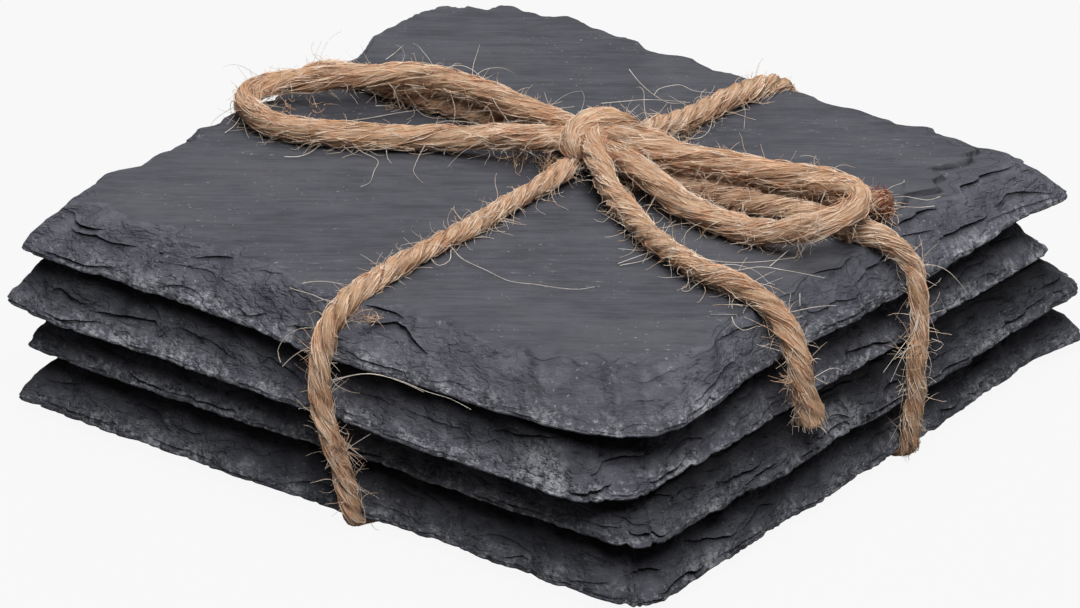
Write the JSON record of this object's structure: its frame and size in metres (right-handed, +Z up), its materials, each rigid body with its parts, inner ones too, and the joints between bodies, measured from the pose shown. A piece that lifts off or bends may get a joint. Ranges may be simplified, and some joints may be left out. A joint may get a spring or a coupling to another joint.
{
  "type": "slate coaster set tied with twine",
  "caption": "Square split-slate drink coasters with hand-dressed edges, stacked and tied crosswise with jute twine and a bow.",
  "frame": {"origin": "middle of the underside of the twine that the stack stands on", "axes": "+X towards the right-hand edge in the picture, +Y towards its back, +Z up through the stack"},
  "size_m": [0.1103, 0.1094, 0.0378],
  "materials": {
    "slate": "split, matt, dark blue-grey",
    "jute": "natural two-ply jute twine, hairy"
  },
  "bodies": {
    "root": {"slate_bottom": "slate", "slate_lower_middle": "slate", "slate_upper_middle": "slate", "slate_top": "slate", "twine_wrap": "jute", "twine_knot": "jute", "bow_left_loop": "jute", "bow_right_loop": "jute", "front_tail": "jute", "right_tail": "jute"}
  },
  "joints": []
}
